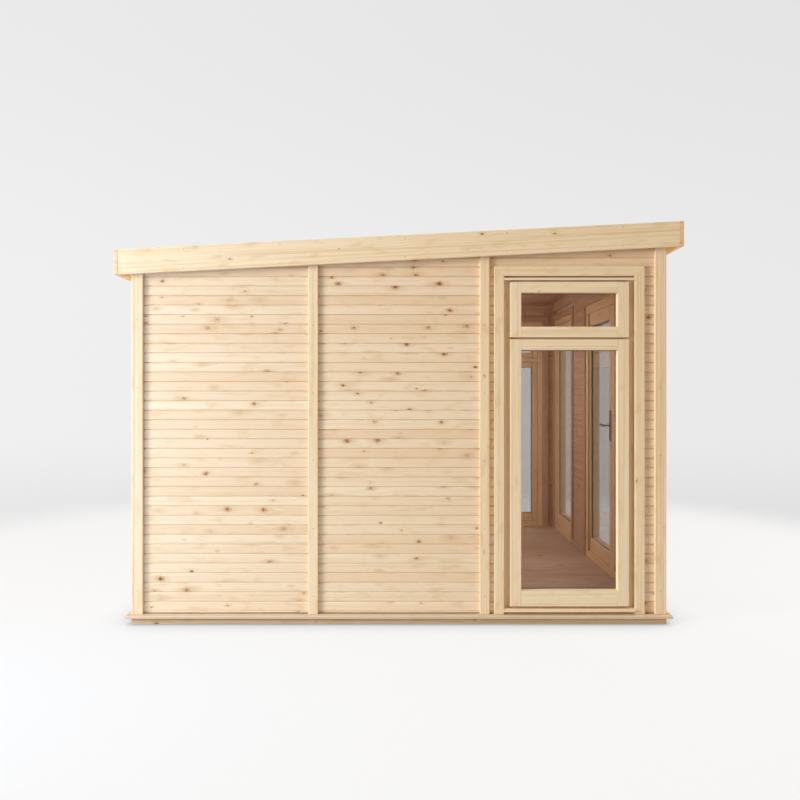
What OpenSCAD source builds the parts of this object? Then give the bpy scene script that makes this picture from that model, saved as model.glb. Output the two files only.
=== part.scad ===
// Garden office pod: a timber garden room with a pent roof.
// The front, with the doors, faces -Y. The roof is highest there. All sizes are in millimetres.

/* [Body] */
// Width of the walls, over the corner trims
body_w = 3000; // [2750:10:4200]
// Length of the walls from front to back, over the corner trims
body_l = 3000; // [2400:10:4200]
// Thickness of a wall, from the face of its cladding to the face of its lining
wall_t = 64; // [50:1:90]

/* [Base] */
// Height of the bearers and joists that the floor lies on
bearer_h = 37; // [30:1:60]
// Width of a bearer and of a joist
bearer_w = 44; // [35:1:60]
// Number of spaces between the joists
joist_bays = 10; // [9:1:14]
// Thickness of the floor
deck_t = 27; // [18:1:36]
// How far the drip sill reaches out from the cladding
sill_reach = 44; // [36:1:70]
// Thickness of the sill at the cladding
sill_t = 20; // [17:1:25]
// How much the top of the sill falls from the cladding to its nose
sill_fall = 3; // [2:1:6]
// Radius of the sill's nose
sill_nose_r = 4; // [2:1:5]

/* [Trims] */
// Thickness of the corner trims, cover trims and architraves
trim_t = 16; // [10:1:22]
// Width of a corner trim on each face
corner_trim_w = 64; // [50:1:90]
// Width of a cover trim
cover_trim_w = 54; // [40:1:80]
// Width of the strip of cladding between a side window's architrave and the cover trim
clad_strip_w = 27; // [15:1:60]
// Width of an architrave
architrave_w = 56; // [40:1:70]
// How far an architrave laps over the frame that it surrounds
architrave_lap = 15; // [5:1:20]
// Thickness of the architraves inside the room
inner_architrave_t = 12; // [8:1:18]

/* [Roof] */
// Height of the lower edge of the fascia at the back
eaves_h = 1955; // [1955:5:2300]
// Slope of the roof, in degrees
roof_pitch = 2.86; // [1:0.02:5]
// How far the roof reaches past the trims at the front and the back
end_overhang = 85; // [60:1:200]
// How far the roof reaches past the trims at each side
side_overhang = 42; // [36:1:120]
// Height of a fascia board
fascia_h = 140; // [132:1:200]
// Thickness of a fascia board
fascia_t = 22; // [16:1:30]
// How far a fascia hangs below the underside of the roof panel
fascia_drop = 40; // [28:1:60]
// Thickness of the roof panel
roof_panel_t = 74; // [50:1:85]
// Thickness of the sheet that covers the roof
covering_t = 4; // [3:1:6]
// Thickness of the ceiling boards and the soffit boards
ceiling_t = 12; // [9:1:16]

/* [Glazing] */
// Width of the glass in each sash and each door leaf
glass_w = 542; // [400:1:650]
// Thickness of a sealed glass unit
glass_t = 14; // [10:1:20]
// Depth of the glass behind the inner face of its sash
glass_inset = 9; // [6:1:14]
// Width of the stiles of a sash or a door leaf
stile_w = 62; // [45:1:90]
// How far the outer lip of a sash stands proud of the frame behind it
lip_t = 34; // [25:1:42]
// How far that lip laps over the frame
lip_lap = 12; // [8:1:18]
// Gap between the body of a sash and its frame
sash_gap = 3; // [2:1:5]
// Width of the jambs and heads of the frames
jamb_w = 60; // [56:1:80]
// Height of the lower edge of a sash or a leaf above the floor
sash_rise = 36; // [31:1:45]
// Height from the lower edge of a sash or a leaf to its upper edge
sash_h = 1820; // [1650:1:1830]
// Height of the top-hung vent sash over each side window
vent_h = 311; // [240:1:420]
// Gap that shows between the vent sash and the sash below it
transom_gap = 11; // [8:1:16]
// Height of the rails of a vent sash, and of the top rail below it
vent_rail_h = 60; // [45:1:80]
// Height of the bottom rail of a side window's main sash
main_rail_h = 89; // [70:1:130]
// Height of the bottom rail of a door leaf and of the front window
door_bottom_rail_h = 112; // [90:1:180]
// Height of the top rail of a door leaf and of the front window
door_top_rail_h = 122; // [90:1:160]
// Distance from a front corner to the frame of the window beside it
window_from_corner = 162; // [100:1:200]
// Height of the drip strips at the head and foot of each frame
drip_h = 19; // [12:1:20]
// How far the lower drip strip stands proud of the architraves
drip_reach = 12; // [4:1:20]

/* [Doors] */
// Distance from the left front corner to the door frame
door_from_corner = 178; // [110:1:220]
// Gap between the two door leaves
meeting_gap = 10; // [10:1:14]
// Gap between a door leaf and the frame
leaf_gap = 5; // [5:1:8]
// Thickness of the stop behind the door leaves
stop_t = 7; // [5:1:10]
// How far the stop reaches in behind a leaf
stop_lap = 18; // [10:1:25]
// Radius of a hinge knuckle
knuckle_r = 7.5; // [6:0.5:10]
// Length of a hinge
hinge_h = 100; // [75:1:130]
// Radius of a hinge pin
pin_r = 3.5; // [2.5:0.5:4.5]
// Thickness of a hinge's plates
hinge_plate_t = 3; // [2:0.5:4]
// Width of the hinge plate that is screwed to the leaf
hinge_plate_w = 46; // [30:1:58]
// Distance from each end of a leaf to the middle of the hinge near it
hinge_inset = 220; // [150:1:350]
// Height of the door handle above the floor
handle_rise = 1014; // [900:1:1100]
// Radius of the bar that the handle is made from
handle_r = 7; // [5:0.5:10]
// Length of a lever, from the middle of its spindle
lever_l = 105; // [80:1:130]
// Distance from the face of the leaf to the middle of a lever
lever_reach = 46; // [35:1:60]
// Width of a handle plate
plate_w = 38; // [30:1:50]
// Height of a handle plate
plate_h = 210; // [140:1:260]
// Thickness of a handle plate
plate_t = 6; // [4:1:8]

/* [Hidden] */
$fn = 48;

cut = 1;               // how far a cutting shape runs past the faces it cuts
seat_gap = 0.3;        // clearance round a piece that is set into another
board_gap = 1;         // joint between boards that share a sub-part
knuckle_gap = 1;       // clearance between the knuckles of a hinge, and at its pin plate
pin_gap = 0.5;         // clearance round a hinge pin
hinge_knuckles = 3;    // knuckles in a hinge
neck_gap = 0.5;        // clearance round the neck of the handle in its plates
neck_hole_gap = 2;     // clearance round the neck of the handle in the leaf
nose_steps = 4;        // flats that round each edge of the sill's nose
drip_seat = 4;         // gap between the upper drip strip and the architrave over it

half_w = body_w / 2;
half_l = body_l / 2;
clad_x = half_w - trim_t;             // face of the cladding on the side walls
clad_y = half_l - trim_t;             // face of the cladding on the front and back walls
room_x = clad_x - wall_t;             // face of the lining on the side walls
room_y = clad_y - wall_t;             // face of the lining on the front and back walls
wall_depth = trim_t + wall_t;         // depth of the lining behind the face of the trims
floor_z = bearer_h + deck_t;
sill_z = bearer_h + sill_t;           // where the trims and architraves stand

roof_y = half_l + end_overhang;       // outer face of the end fascias
roof_x = half_w + side_overhang;      // outer face of the side fascias
roof_low = fascia_drop;               // underside of the roof panel above the fascia's edge
under_low = roof_low - seat_gap;      // tops of what the roof panel lies on
roof_high = fascia_drop + roof_panel_t;
ceiling_low = fascia_drop - ceiling_t;

sash_w = glass_w + 2 * stile_w;
sash_t = wall_depth - leaf_gap - stop_t;            // thickness of a sash or a door leaf
glass_depth = sash_t - glass_t - glass_inset;       // depth of the glass behind the sash's face
sash_z = floor_z + sash_rise;
sash_top = sash_z + sash_h;
vent_z = sash_top - vent_h;
main_top = vent_z - transom_gap;
head_z = sash_top - lip_lap;                        // underside of the heads
frame_top = head_z + jamb_w;
rail_top = sash_z + lip_lap;                        // top of the rails at the feet of the frames
window_w = sash_w - 2 * lip_lap + 2 * jamb_w;       // outer width of a window frame
side_window_u = half_l - window_from_corner - window_w / 2;
front_window_u = half_w - window_from_corner - window_w / 2;
end_panel_w = window_from_corner + window_w - architrave_lap + architrave_w
    + clad_strip_w + cover_trim_w / 2;              // width of the wall panel at each corner
joint_x = half_w - end_panel_w;                     // joints between the panels of the back wall
joint_y = half_l - end_panel_w;                     // joints between the panels of a side wall
drip_gap = jamb_w - lip_lap - architrave_lap - drip_h - drip_seat;  // from a sash to its drip strips
architrave_top = frame_top - architrave_lap + architrave_w;

pair_w = 2 * sash_w + meeting_gap;
door_w = pair_w - 2 * lip_lap + 2 * jamb_w;         // outer width of the door frame
door_u = door_from_corner + door_w / 2 - half_w;
leaf_lip_t = lip_t - leaf_gap;
axis_u = pair_w / 2 + leaf_gap / 2;                 // hinge axes, from the middle of the doorway
axis_depth = -knuckle_r - knuckle_gap;              // hinge axes, in front of the leaves
hinge_z = [sash_z + hinge_inset, sash_z + sash_h / 2, sash_top - hinge_inset];
knuckle_h = (hinge_h - (hinge_knuckles - 1) * knuckle_gap) / hinge_knuckles;
handle_z = floor_z + handle_rise;
handle_u = door_u + meeting_gap / 2 + stile_w / 2;
neck_r = handle_r - 1;                 // the spindle and its necks
lever_heel = handle_r + 3;             // how far a lever runs on past its neck

pine = "burlywood";
pale_pine = "wheat";
lined = "tan";
steel = "silver";
tint = [0.72, 0.75, 0.78, 0.4];
sheet = "dimgray";

// Height of the fascia's lower edge at a distance y from the middle
function eaves(y) = eaves_h + (roof_y - y) * tan(roof_pitch);

// A block given by its two limits along each axis
module block(x, y, z)
    translate([x[0], y[0], z[0]]) cube([x[1] - x[0], y[1] - y[0], z[1] - z[0]]);

// An outline in the YZ plane, extruded from x[0] to x[1]
module across(x)
    translate([x[0], 0, 0]) rotate([90, 0, 90]) linear_extrude(x[1] - x[0]) children();

// A block that stands on the height z and whose top follows the roof
module under_roof(x, y, z)
    across(x) polygon([[y[0], z], [y[1], z],
        [y[1], eaves(y[1]) + under_low], [y[0], eaves(y[0]) + under_low]]);

// A slab whose underside and top both follow the roof
module along_roof(x, y, low, high)
    across(x) polygon([[y[0], eaves(y[0]) + low], [y[1], eaves(y[1]) + low],
        [y[1], eaves(y[1]) + high], [y[0], eaves(y[0]) + high]]);

// The child and its mirror image on the other side
module both_sides() {
    children();
    mirror([1, 0, 0]) children();
}

// The child and its mirror image at the other end
module both_ends() {
    children();
    mirror([0, 1, 0]) children();
}

// Local frames for the joinery: X along the wall, Y inwards from the face of the trims, Z up
module on_front() translate([0, -half_l, 0]) children();
module on_left() rotate([0, 0, -90]) translate([0, -half_w, 0]) children();
module on_both_sides() both_sides() on_left() children();

// ---- base ----

module side_bearers() color(pine)
    both_sides() block([half_w - bearer_w, half_w], [-half_l, half_l], [0, bearer_h]);

module floor_joists() color(pine)
    for (i = [0 : joist_bays]) {
        y = -half_l + i * (body_l - bearer_w) / joist_bays;
        block([bearer_w - half_w, half_w - bearer_w], [y, y + bearer_w], [0, bearer_h]);
    }

module floor_deck() color(lined)
    block([-clad_x, clad_x], [-clad_y, clad_y], [bearer_h, floor_z]);

// Quarter of a circle from angle a, as points round a centre
function arc(centre, r, a) =
    [for (i = [0 : nose_steps]) centre + r * [cos(a + i * 90 / nose_steps), sin(a + i * 90 / nose_steps)]];

nose_z = sill_z - sill_fall;
sill_outline = concat([[0, bearer_h]],
    arc([sill_reach - sill_nose_r, bearer_h + sill_nose_r], sill_nose_r, -90),
    arc([sill_reach - sill_nose_r, nose_z - sill_nose_r], sill_nose_r, 0),
    [[0, sill_z]]);

// A sill along the +X face of a rectangle, with mitred ends
module sill(x, y)
    intersection() {
        translate([x, y + sill_reach, 0]) rotate([90, 0, 0])
            linear_extrude(2 * (y + sill_reach)) polygon(sill_outline);
        linear_extrude(sill_z + cut) polygon([[x, -y], [x + sill_reach, -y - sill_reach],
            [x + sill_reach, y + sill_reach], [x, y]]);
    }

module side_sills() color(pine) both_sides() sill(clad_x, clad_y);

module end_sills() color(pine) both_ends() rotate([0, 0, 90]) sill(clad_y, clad_x);

// ---- walls ----

// A panel of the left side wall, between two distances from the middle
module side_panel(y) under_roof([-clad_x, -room_x], y, floor_z);

module side_panel_front() difference() {
    side_panel([-clad_y, -joint_y]);
    on_left() block([side_window_u - window_w / 2, side_window_u + window_w / 2],
        [trim_t - cut, wall_depth + cut], [floor_z - cut, frame_top]);
}

module left_wall_back() color(pale_pine) side_panel([joint_y, clad_y]);
module left_wall_middle() color(pale_pine) side_panel([-joint_y, joint_y]);
module left_wall_front() color(pale_pine) side_panel_front();
module right_wall_back() color(pale_pine) mirror([1, 0, 0]) side_panel([joint_y, clad_y]);
module right_wall_middle() color(pale_pine) mirror([1, 0, 0]) side_panel([-joint_y, joint_y]);
module right_wall_front() color(pale_pine) mirror([1, 0, 0]) side_panel_front();

module back_wall_left() color(pale_pine) under_roof([-room_x, -joint_x], [room_y, clad_y], floor_z);
module back_wall_middle() color(pale_pine) under_roof([-joint_x, joint_x], [room_y, clad_y], floor_z);
module back_wall_right() color(pale_pine) under_roof([joint_x, room_x], [room_y, clad_y], floor_z);

module front_wall_corner() color(pale_pine)
    under_roof([-room_x, door_u - door_w / 2], [-clad_y, -room_y], floor_z);

module front_wall_over_door() color(pale_pine)
    under_roof([door_u - door_w / 2, door_u + door_w / 2], [-clad_y, -room_y], frame_top);

module front_wall_right() color(pale_pine) difference() {
    under_roof([door_u + door_w / 2, room_x], [-clad_y, -room_y], floor_z);
    on_front() block([front_window_u - window_w / 2, front_window_u + window_w / 2],
        [trim_t - cut, wall_depth + cut], [floor_z - cut, frame_top]);
}

// ---- outer trims ----

module corner_trims() color(pine) both_sides() {
    corner_trim(-half_l, 1);
    corner_trim(half_l, -1);
}

// Two boards that meet at the left corner at y; inward is 1 at the front and -1 at the back
module corner_trim(y, inward) {
    end_board = [min(y, y + inward * trim_t), max(y, y + inward * trim_t)];
    side_board = [min(y, y + inward * corner_trim_w), max(y, y + inward * corner_trim_w)];
    under_roof([-half_w, corner_trim_w - half_w], end_board, sill_z);
    under_roof([-half_w, -clad_x], side_board, sill_z);
}

module cover_trims() color(pine) {
    both_sides() for (y = [-joint_y, joint_y])
        under_roof([clad_x, half_w], [y - cover_trim_w / 2, y + cover_trim_w / 2], sill_z);
    both_sides()
        under_roof([joint_x - cover_trim_w / 2, joint_x + cover_trim_w / 2], [clad_y, half_l], sill_z);
}

// ---- roof ----

module roof_panel() color(lined)
    along_roof([fascia_t - roof_x, roof_x - fascia_t], [fascia_t - roof_y, roof_y - fascia_t],
        roof_low, roof_high);

module ceiling_lining() color(lined)
    along_roof([-room_x, room_x], [-room_y, room_y], ceiling_low, under_low);

module roof_covering() color(sheet)
    along_roof([fascia_t - roof_x, roof_x - fascia_t], [fascia_t - roof_y, roof_y - fascia_t],
        roof_high, roof_high + covering_t);

module side_fascias() color(pine)
    both_sides() along_roof([roof_x - fascia_t, roof_x], [fascia_t - roof_y, roof_y - fascia_t],
        0, fascia_h);

module end_fascias() color(pine) {
    along_roof([-roof_x, roof_x], [-roof_y, fascia_t - roof_y], 0, fascia_h);
    along_roof([-roof_x, roof_x], [roof_y - fascia_t, roof_y], 0, fascia_h);
}

module soffit_boards() color(pine) {
    along_roof([fascia_t - roof_x, roof_x - fascia_t], [fascia_t - roof_y, -half_l],
        ceiling_low, under_low);
    along_roof([fascia_t - roof_x, roof_x - fascia_t], [half_l, roof_y - fascia_t],
        ceiling_low, under_low);
    both_sides() along_roof([half_w, roof_x - fascia_t], [board_gap - half_l, half_l - board_gap],
        ceiling_low, under_low);
}

// ---- window and door joinery, in the local frames ----

// Boards round an opening whose frame is w wide: two legs and a head
module architrave(u, w, y, foot) difference() {
    block([u - w / 2 + architrave_lap - architrave_w, u + w / 2 - architrave_lap + architrave_w],
        y, [foot, architrave_top]);
    block([u - w / 2 + architrave_lap, u + w / 2 - architrave_lap],
        [y[0] - cut, y[1] + cut], [foot - cut, frame_top - architrave_lap]);
}

// A frame w wide with its head, its bottom rail and its two drip strips
module frame(u, w) {
    inner = [u - w / 2 + jamb_w, u + w / 2 - jamb_w];
    between = [u - w / 2 + architrave_lap, u + w / 2 - architrave_lap];
    difference() {
        block([u - w / 2, u + w / 2], [lip_t, wall_depth], [floor_z, frame_top]);
        block(inner, [lip_t - cut, wall_depth + cut], [rail_top, head_z]);
    }
    block(between, [0, lip_t], [sash_top + drip_gap, sash_top + drip_gap + drip_h]);
    block(between, [-drip_reach, lip_t], [sash_z - drip_gap - drip_h, sash_z - drip_gap]);
}

// A rebated sash between two heights, with its glass opening between another two
module sash(u, z, glass_z) difference() {
    lap = lip_lap + sash_gap;
    union() {
        block([u - sash_w / 2, u + sash_w / 2], [0, lip_t], z);
        block([u - sash_w / 2 + lap, u + sash_w / 2 - lap], [lip_t, sash_t], [z[0] + lap, z[1] - lap]);
    }
    block([u - glass_w / 2, u + glass_w / 2], [-cut, sash_t + cut], glass_z);
}

// The sealed glass unit that fills an opening
module pane(u, glass_z)
    block([u - glass_w / 2 + seat_gap, u + glass_w / 2 - seat_gap],
        [glass_depth, glass_depth + glass_t], [glass_z[0] + seat_gap, glass_z[1] - seat_gap]);

vent_glass_z = [vent_z + vent_rail_h, sash_top - vent_rail_h];
main_glass_z = [sash_z + main_rail_h, main_top - vent_rail_h];
door_glass_z = [sash_z + door_bottom_rail_h, sash_top - door_top_rail_h];

module side_window_architraves() color(pine)
    on_both_sides() architrave(side_window_u, window_w, [0, trim_t], sill_z);

module side_window_frames() color(pine) on_both_sides() {
    frame(side_window_u, window_w);
    block([side_window_u - window_w / 2 + jamb_w, side_window_u + window_w / 2 - jamb_w],
        [lip_t, wall_depth], [main_top - lip_lap, vent_z + lip_lap]);
}

module side_vent_sashes() color(pine)
    on_both_sides() sash(side_window_u, [vent_z, sash_top], vent_glass_z);

module side_main_sashes() color(pine)
    on_both_sides() sash(side_window_u, [sash_z, main_top], main_glass_z);

module side_window_glass() color(tint) on_both_sides() {
    pane(side_window_u, vent_glass_z);
    pane(side_window_u, main_glass_z);
}

module front_window_frame() color(pine) on_front() frame(front_window_u, window_w);

module front_window_sash() color(pine)
    on_front() sash(front_window_u, [sash_z, sash_top], door_glass_z);

module front_window_glass() color(tint) on_front() pane(front_window_u, door_glass_z);

module front_architraves() color(pine) on_front() {
    architrave(front_window_u, window_w, [0, trim_t], sill_z);
    architrave(door_u, door_w, [0, trim_t], sill_z);
}

module inner_architraves() color(lined) {
    y = [wall_depth, wall_depth + inner_architrave_t];
    on_both_sides() architrave(side_window_u, window_w, y, floor_z);
    on_front() architrave(front_window_u, window_w, y, floor_z);
    on_front() architrave(door_u, door_w, y, floor_z);
}

// ---- doors ----

module door_frame() color(pine) on_front() {
    clear = [door_u - pair_w / 2 + lip_lap, door_u + pair_w / 2 - lip_lap];
    stop_y = [wall_depth - stop_t, wall_depth];
    frame(door_u, door_w);
    for (side = [-1, 1]) {
        u = side < 0 ? clear[0] : clear[1] - stop_lap;
        block([u, u + stop_lap], stop_y, [rail_top, head_z]);
    }
    block(clear, stop_y, [head_z - stop_lap, head_z]);
}

// The right-hand leaf, with the doorway's middle at X = 0
module leaf() difference() {
    lap = lip_lap + leaf_gap;
    u = [meeting_gap / 2, meeting_gap / 2 + sash_w];
    union() {
        block(u, [0, leaf_lip_t], [sash_z, sash_top]);
        block([u[0], u[1] - lap], [leaf_lip_t, sash_t], [sash_z + lap, sash_top - lap]);
    }
    block([u[0] + stile_w, u[1] - stile_w], [-cut, sash_t + cut], door_glass_z);
}

module leaf_glass() pane(meeting_gap / 2 + sash_w / 2, door_glass_z);

module on_right_leaf() on_front() translate([door_u, 0, 0]) children();
module on_left_leaf() on_right_leaf() mirror([1, 0, 0]) children();

module left_door_leaf() color(pine) on_left_leaf() leaf();

module right_door_leaf() color(pine) difference() {
    on_right_leaf() leaf();
    handle_hole([0, sash_t], neck_r + neck_hole_gap);
}

module left_door_glass() color(tint) on_left_leaf() leaf_glass();
module right_door_glass() color(tint) on_right_leaf() leaf_glass();

// A hinge knuckle, counted from the bottom of a hinge whose middle is at the height z
module knuckle(z, i, r)
    translate([axis_u, axis_depth, z - hinge_h / 2 + i * (knuckle_h + knuckle_gap)])
        cylinder(h = knuckle_h, r = r);

// The half of each hinge that stays with the frame: two knuckles, the pin and a bent strap
module hinge_frame_half() for (z = hinge_z) {
    strap = [axis_u + knuckle_gap / 2, axis_u + knuckle_gap / 2 + hinge_plate_t];
    for (i = [0, hinge_knuckles - 1]) {
        low = z - hinge_h / 2 + i * (knuckle_h + knuckle_gap);
        knuckle(z, i, knuckle_r);
        block(strap, [axis_depth, lip_t], [low, low + knuckle_h]);
        block([strap[0], strap[0] + jamb_w / 2], [lip_t - hinge_plate_t, lip_t], [low, low + knuckle_h]);
    }
    translate([axis_u, axis_depth, z - hinge_h / 2]) cylinder(h = hinge_h, r = pin_r);
}

// The half that stays with the leaf: one knuckle and a plate on the face of the stile
module hinge_leaf_half() for (z = hinge_z) {
    low = z - hinge_h / 2 + knuckle_h + knuckle_gap;
    difference() {
        union() {
            knuckle(z, 1, knuckle_r);
            block([axis_u - hinge_plate_w, axis_u], [-hinge_plate_t, 0], [low, low + knuckle_h]);
        }
        translate([axis_u, axis_depth, low - cut])
            cylinder(h = knuckle_h + 2 * cut, r = pin_r + pin_gap);
    }
}

module frame_hinges() color(steel) {
    on_right_leaf() hinge_frame_half();
    on_left_leaf() hinge_frame_half();
}

module left_door_hinges() color(steel) on_left_leaf() hinge_leaf_half();
module right_door_hinges() color(steel) on_right_leaf() hinge_leaf_half();

// A hole for the neck of the handle, between two depths behind the face of the leaf
module handle_hole(y, r)
    on_front() translate([handle_u, y[0] - cut, handle_z]) rotate([-90, 0, 0])
        cylinder(h = y[1] - y[0] + 2 * cut, r = r);

module door_handle() color(steel) on_front() {
    ends = [-lever_reach, sash_t + lever_reach];
    translate([handle_u, ends[0], handle_z]) rotate([-90, 0, 0])
        cylinder(h = ends[1] - ends[0], r = neck_r);
    for (y = ends)
        translate([handle_u - lever_heel, y, handle_z]) rotate([0, 90, 0])
            cylinder(h = lever_heel + lever_l, r = handle_r);
}

module handle_plates() color(steel) difference() {
    on_front() for (y = [-plate_t, sash_t])
        block([handle_u - plate_w / 2, handle_u + plate_w / 2], [y, y + plate_t],
            [handle_z - plate_h / 2, handle_z + plate_h / 2]);
    handle_hole([-plate_t, sash_t + plate_t], neck_r + neck_gap);
}

side_bearers();
floor_joists();
floor_deck();
side_sills();
end_sills();
left_wall_back();
left_wall_middle();
left_wall_front();
right_wall_back();
right_wall_middle();
right_wall_front();
back_wall_left();
back_wall_middle();
back_wall_right();
front_wall_corner();
front_wall_over_door();
front_wall_right();
corner_trims();
cover_trims();
roof_panel();
ceiling_lining();
roof_covering();
side_fascias();
end_fascias();
soffit_boards();
side_window_architraves();
side_window_frames();
side_vent_sashes();
side_main_sashes();
side_window_glass();
front_window_frame();
front_window_sash();
front_window_glass();
front_architraves();
inner_architraves();
door_frame();
left_door_leaf();
right_door_leaf();
left_door_glass();
right_door_glass();
frame_hinges();
left_door_hinges();
right_door_hinges();
door_handle();
handle_plates();
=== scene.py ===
import math
import random

import bmesh
import bpy
from mathutils import Matrix, Vector


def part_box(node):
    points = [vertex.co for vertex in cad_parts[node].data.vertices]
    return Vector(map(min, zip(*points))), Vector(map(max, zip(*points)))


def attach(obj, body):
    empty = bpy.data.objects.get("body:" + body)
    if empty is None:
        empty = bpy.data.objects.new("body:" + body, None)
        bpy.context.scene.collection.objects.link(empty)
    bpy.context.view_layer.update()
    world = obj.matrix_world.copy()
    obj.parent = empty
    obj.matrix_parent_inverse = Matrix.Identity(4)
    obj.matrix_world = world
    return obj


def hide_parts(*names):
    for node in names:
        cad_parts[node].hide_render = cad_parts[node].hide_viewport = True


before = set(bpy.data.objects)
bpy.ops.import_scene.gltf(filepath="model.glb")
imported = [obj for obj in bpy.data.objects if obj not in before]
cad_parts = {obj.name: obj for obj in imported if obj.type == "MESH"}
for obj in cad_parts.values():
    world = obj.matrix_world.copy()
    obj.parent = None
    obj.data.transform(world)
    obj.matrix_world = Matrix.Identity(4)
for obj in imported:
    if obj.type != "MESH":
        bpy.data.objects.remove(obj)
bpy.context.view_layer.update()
draw = random.Random(11)
carrier = bpy.data.meshes.new("carrier")
alongU, alongD, alongZ = 0, 1, 2          # along the wall, into the wall, and up
print("frame loaded")

# places, all read from the frame

halfWidth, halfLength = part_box("corner_trims")[1].xy
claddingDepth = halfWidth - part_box("right_wall_front")[1].x
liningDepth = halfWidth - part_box("right_wall_front")[0].x
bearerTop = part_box("side_bearers")[1].z
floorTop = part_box("floor_deck")[1].z
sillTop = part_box("side_sills")[1].z


def wallPlace(alongWall, inwards, origin):
    return Matrix((
        (alongWall[0], inwards[0], 0, origin[0]),
        (alongWall[1], inwards[1], 0, origin[1]),
        (0, 0, 1, 0),
        (0, 0, 0, 1),
    ))


onLeft = wallPlace((0, -1), (1, 0), (-halfWidth, 0))
onRight = wallPlace((0, -1), (-1, 0), (halfWidth, 0))
onFront = wallPlace((1, 0), (0, 1), (0, -halfLength))
onBack = wallPlace((-1, 0), (0, -1), (0, halfLength))
asBuilt = Matrix.Identity(4)
bothSides = (onLeft, onRight)

# The roof falls from the front to the back. wallTop is its underside at the middle of the building.
frontPanel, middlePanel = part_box("left_wall_front"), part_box("left_wall_middle")
roofFall = (frontPanel[1].z - middlePanel[1].z) / (middlePanel[0].y - frontPanel[0].y)
wallTop = frontPanel[1].z + roofFall * frontPanel[0].y
onRoof = Matrix(((1, 0, 0, 0), (0, 1, 0, 0), (0, -roofFall, 1, 0), (0, 0, 0, 1)))
roofNormal = Vector((0, roofFall, 1))


def boxIn(place, node):
    corners = [place.inverted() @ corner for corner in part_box(node)]
    return [(min(ends), max(ends)) for ends in zip(*corners)]


def halfAlong(place):
    return halfLength if place in bothSides else halfWidth


def roofCut(place):
    point = place.inverted() @ Vector((0, 0, wallTop))
    return (point, place.to_3x3().transposed() @ roofNormal)


boards = {"edge": 0.0015, "softEdge": 0.002, "endShare": 0.6, "nearCut": 1e-7}


def newPiece():
    piece = bmesh.new()
    piece.loops.layers.uv.new("grain")
    piece.faces.layers.float.new("tone")
    piece.faces.layers.float.new("endGrain")
    return piece


def layGrain(shape, spans, run):
    # the grain map is in metres: along the board, then across it
    grain = shape.loops.layers.uv.new("grain")
    tone = shape.faces.layers.float.new("tone")
    endGrain = shape.faces.layers.float.new("endGrain")
    first, second = [axis for axis in range(3) if axis != run]
    shift = Vector((draw.uniform(0, 60), draw.uniform(0, 60)))
    shade = draw.random()
    shape.normal_update()
    for face in shape.faces:
        normal = face.normal
        atEnd = abs(normal[run]) > boards["endShare"]
        face[tone] = shade
        face[endGrain] = 1.0 if atEnd else 0.0
        facesFirst = abs(normal[first]) > abs(normal[second])
        for loop in face.loops:
            spot = loop.vert.co
            if atEnd:
                flat = (spot[first], spot[second])
            elif facesFirst:
                flat = (spot[run], spot[second])
            else:
                turn = math.copysign(spot[first] - spans[first][0], normal[second])
                flat = (spot[run], spot[second] + turn)
            loop[grain].uv = Vector(flat) + shift


def addBoard(piece, spans, run, place=asBuilt, outline=None, cuts=(), edge=boards["edge"]):
    # spans holds the limits along the wall, into it and up; run is the axis of the grain
    shape = bmesh.new()
    first, second = [axis for axis in range(3) if axis != run]
    if outline is None:
        (a, b), (c, d) = spans[first], spans[second]
        outline = [(a, c), (b, c), (b, d), (a, d)]
    corners = []
    for acrossFirst, acrossSecond in outline:
        spot = Vector()
        spot[run], spot[first], spot[second] = spans[run][0], acrossFirst, acrossSecond
        corners.append(shape.verts.new(spot))
    grown = bmesh.ops.extrude_face_region(shape, geom=[shape.faces.new(corners)])["geom"]
    step = Vector()
    step[run] = spans[run][1] - spans[run][0]
    bmesh.ops.translate(shape, vec=step, verts=[v for v in grown if isinstance(v, bmesh.types.BMVert)])
    bmesh.ops.recalc_face_normals(shape, faces=shape.faces)
    if edge:
        # a board that is cut to fit afterwards keeps sharp ends, so its joints close
        rounded = [e for e in shape.edges if not cuts or abs((e.verts[0].co - e.verts[1].co)[run]) > edge]
        bmesh.ops.bevel(shape, geom=rounded, offset=edge, offset_type="OFFSET",
                        segments=2 if edge > boards["softEdge"] else 1, profile=0.5, affect="EDGES",
                        clamp_overlap=True, material=-1)
    for point, normal in cuts:
        whole = shape.verts[:] + shape.edges[:] + shape.faces[:]
        made = bmesh.ops.bisect_plane(shape, geom=whole, dist=boards["nearCut"], plane_co=point,
                                      plane_no=normal, clear_outer=True)["geom_cut"]
        rim = [e for e in made if isinstance(e, bmesh.types.BMEdge) and e.is_boundary]
        if rim:
            bmesh.ops.edgeloop_fill(shape, edges=rim)
    if shape.faces:
        layGrain(shape, spans, run)
        bmesh.ops.transform(shape, matrix=place, verts=shape.verts)
        bmesh.ops.recalc_face_normals(shape, faces=shape.faces)
        shape.to_mesh(carrier)
        piece.from_mesh(carrier)
    shape.free()


def addRing(piece, u, d, z, width, place, sides="ltrb", edge=boards["edge"]):
    # boards round a rectangle, mitred where two of them meet; width reaches inwards from its edge
    corners = {"lt": (u[0], z[1], -1, 1), "rt": (u[1], z[1], 1, 1),
               "lb": (u[0], z[0], -1, -1), "rb": (u[1], z[0], 1, -1)}
    for side in sides:
        upright = side in "lr"
        cuts = []
        for pair, (cornerU, cornerZ, signU, signZ) in corners.items():
            if side in pair and all(other in sides for other in pair):
                turn = 1 if upright else -1
                normal = Vector((-signU * turn, 0, signZ * turn))
                cuts.append((Vector((cornerU, 0, cornerZ)), normal))
        spans = {"l": ((u[0], u[0] + width), d, z), "r": ((u[1] - width, u[1]), d, z),
                 "t": (u, d, (z[1] - width, z[1])), "b": (u, d, (z[0], z[0] + width))}[side]
        addBoard(piece, spans, alongZ if upright else alongU, place, cuts=cuts, edge=edge)


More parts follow.
